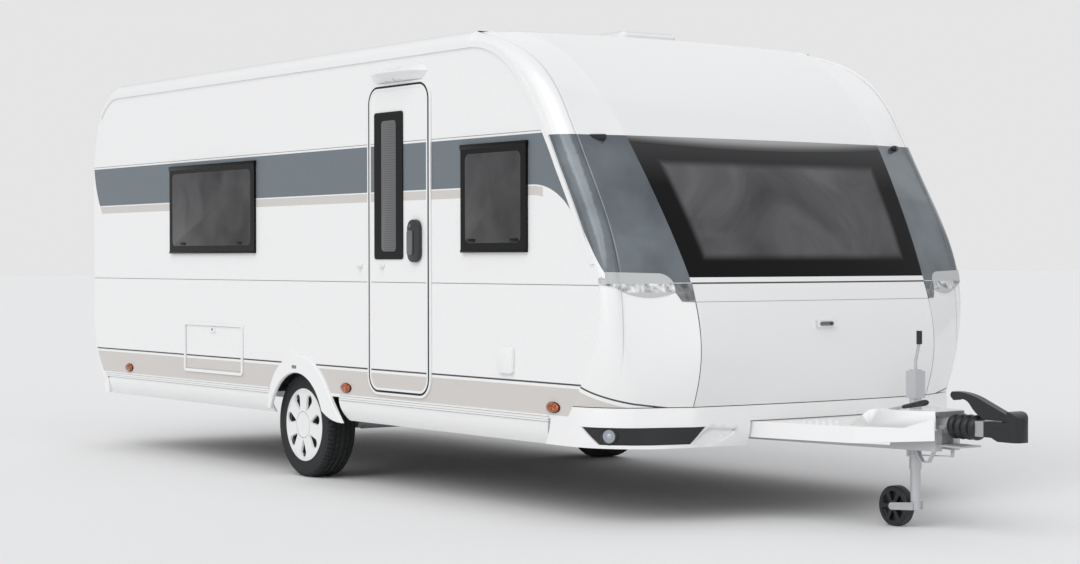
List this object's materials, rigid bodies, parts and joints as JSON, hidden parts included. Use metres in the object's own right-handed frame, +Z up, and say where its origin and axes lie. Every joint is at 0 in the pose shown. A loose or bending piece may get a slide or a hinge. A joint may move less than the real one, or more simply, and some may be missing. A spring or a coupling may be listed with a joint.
{
  "type": "travel caravan",
  "caption": "Single-axle touring caravan with entrance door, service hatch, gas locker, corner steadies, overrun drawbar, ball coupling and jockey wheel.",
  "frame": {"origin": "on the ground under the middle of the caravan's whole box", "axes": "+X forward to the coupling, +Y left, +Z up"},
  "size_m": [7.7, 2.614, 2.6133],
  "materials": {
    "body_white": "glossy moulded plastic",
    "wall_white": "painted aluminium sheet with a fine hammered grain",
    "window_black": "dark tinted acrylic",
    "lamp_clear": "clear lamp lens",
    "lamp_amber": "amber lens",
    "lamp_red": "red lens",
    "trim_aluminium": "satin",
    "galvanised_steel": "hot-dip galvanised",
    "black_plastic": "moulded, fine grain",
    "rubber_black": "ribbed rubber",
    "tyre_rubber": "matt rubber",
    "cast_grey": "zinc-plated casting",
    "floor_board": "sealed plywood sandwich",
    "wheel_white": "painted wheel cover",
    "rim_steel": "silver paint"
  },
  "bodies": {
    "caravan_body": {"floor": "floor_board", "roof": "body_white", "side_wall_right_lower": "wall_white", "side_wall_right_upper": "wall_white", "side_wall_left_lower": "wall_white", "side_wall_left_upper": "wall_white", "nose_corner_right": "body_white", "nose_corner_left": "body_white", "nose_panel": "body_white", "front_window": "window_black", "nose_rail": "trim_aluminium", "locker_bulkhead": "wall_white", "rear_shell": "body_white", "rear_window": "window_black", "rear_lamps": "lamp_red", "rear_bumper": "body_white", "front_bumper": "body_white", "bumper_inserts": "black_plastic", "front_lamps": "lamp_clear", "marker_lamps": "lamp_amber", "drawbar_cover": "body_white", "skirts": "body_white", "wheel_arches": "body_white", "wheel_boxes": "black_plastic", "door_frame": "trim_aluminium", "hatch_frame": "trim_aluminium", "side_windows": "window_black", "roof_lights": "body_white", "awning_rails": "trim_aluminium", "canopy_light": "lamp_clear", "chassis": "galvanised_steel", "axle_tube": "galvanised_steel", "swing_arms": "galvanised_steel", "overrun": "galvanised_steel", "bellows": "rubber_black", "coupling_head": "cast_grey", "jockey_outer_tube": "galvanised_steel", "steady_brackets": "galvanised_steel"},
    "wheel_right": {"tyre_right": "tyre_rubber", "rim_right": "rim_steel", "wheel_cover_right": "wheel_white"},
    "wheel_left": {"tyre_left": "tyre_rubber", "rim_left": "rim_steel", "wheel_cover_left": "wheel_white"},
    "entrance_door": {"door_leaf": "body_white", "door_window": "window_black", "door_handle": "trim_aluminium"},
    "service_hatch": {"hatch_door": "wall_white"},
    "gas_locker_lid": {"locker_lid": "body_white"},
    "jockey_slider": {"jockey_inner_tube": "galvanised_steel"},
    "jockey_caster": {"jockey_fork": "galvanised_steel"},
    "jockey_roller": {"jockey_wheel": "black_plastic"},
    "handbrake": {"handbrake_lever": "galvanised_steel"},
    "coupling_grip": {"coupling_handle": "black_plastic"},
    "corner_steady_front_right": {"steady_front_right": "galvanised_steel"},
    "corner_steady_front_left": {"steady_front_left": "galvanised_steel"},
    "corner_steady_rear_right": {"steady_rear_right": "galvanised_steel"},
    "corner_steady_rear_left": {"steady_rear_left": "galvanised_steel"}
  },
  "joints": [
    {"name": "wheel_spin_right", "type": "hinge", "parent": "caravan_body", "child": "wheel_right", "pos_m": [-0.845, -1.1, 0.318], "axis": [0, 1, 0], "continuous": true},
    {"name": "wheel_spin_left", "type": "hinge", "parent": "caravan_body", "child": "wheel_left", "pos_m": [-0.845, 1.1, 0.318], "axis": [0, 1, 0], "continuous": true},
    {"name": "door_hinge", "type": "hinge", "parent": "caravan_body", "child": "entrance_door", "pos_m": [0.05515, -1.25815, 1.4375], "axis": [0, 0, -1], "range_deg": [0, 165]},
    {"name": "hatch_hinge", "type": "hinge", "parent": "caravan_body", "child": "service_hatch", "pos_m": [-1.92, -1.25215, 0.90185], "axis": [-1, 0, 0], "range_deg": [0, 110]},
    {"name": "lid_hinge", "type": "hinge", "parent": "caravan_body", "child": "gas_locker_lid", "pos_m": [2.445, 0, 1.20585], "axis": [0, -1, 0], "range_deg": [0, 80]},
    {"name": "jockey_height", "type": "slide", "parent": "caravan_body", "child": "jockey_slider", "axis": [0, 0, 1], "range_m": [0, 0.15]},
    {"name": "jockey_swivel", "type": "hinge", "parent": "jockey_slider", "child": "jockey_caster", "pos_m": [3.14, 0, 0.14], "axis": [0, 0, 1], "continuous": true},
    {"name": "jockey_spin", "type": "hinge", "parent": "jockey_caster", "child": "jockey_roller", "pos_m": [3.01, 0, 0.1], "axis": [0, 1, 0], "continuous": true},
    {"name": "handbrake_hinge", "type": "hinge", "parent": "caravan_body", "child": "handbrake", "pos_m": [3.005, -0.103, 0.568], "axis": [0, -1, 0], "range_deg": [0, 75]},
    {"name": "coupling_hinge", "type": "hinge", "parent": "caravan_body", "child": "coupling_grip", "pos_m": [3.745, 0, 0.573], "axis": [0, 1, 0], "range_deg": [0, 50]},
    {"name": "steady_front_right_hinge", "type": "hinge", "parent": "caravan_body", "child": "corner_steady_front_right", "pos_m": [1.585, -0.85, 0.455], "axis": [0, -1, 0], "range_deg": [0, 70]},
    {"name": "steady_front_left_hinge", "type": "hinge", "parent": "caravan_body", "child": "corner_steady_front_left", "pos_m": [1.585, 0.85, 0.455], "axis": [0, -1, 0], "range_deg": [0, 70]},
    {"name": "steady_rear_right_hinge", "type": "hinge", "parent": "caravan_body", "child": "corner_steady_rear_right", "pos_m": [-3.175, -0.85, 0.455], "axis": [0, 1, 0], "range_deg": [0, 70]},
    {"name": "steady_rear_left_hinge", "type": "hinge", "parent": "caravan_body", "child": "corner_steady_rear_left", "pos_m": [-3.175, 0.85, 0.455], "axis": [0, 1, 0], "range_deg": [0, 70]}
  ]
}
